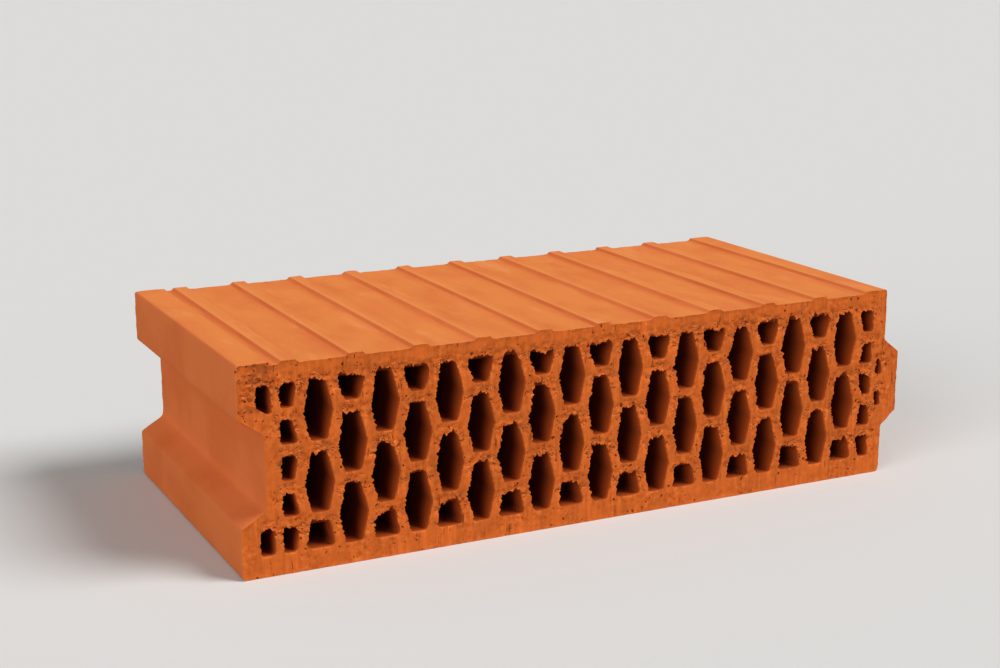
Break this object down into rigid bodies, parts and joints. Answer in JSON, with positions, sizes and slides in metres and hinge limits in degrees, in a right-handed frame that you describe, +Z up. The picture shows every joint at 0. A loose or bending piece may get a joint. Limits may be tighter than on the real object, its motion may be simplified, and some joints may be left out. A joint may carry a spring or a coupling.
{
  "type": "hollow clay partition block",
  "caption": "Fired clay wall block with staggered honeycomb cells right through, plaster ribs on one wall face, and a tongue and a groove at its ends.",
  "frame": {"origin": "middle of the lower wall face, halfway between the two end faces", "axes": "+X from the groove end to the tongue end, +Y along the extrusion to the far cut face, +Z up to the ribbed wall face"},
  "size_m": [0.5098, 0.238, 0.14],
  "materials": {
    "fired_clay": "matt unglazed fired clay"
  },
  "bodies": {
    "root": {"clay_block": "fired_clay"}
  },
  "joints": []
}
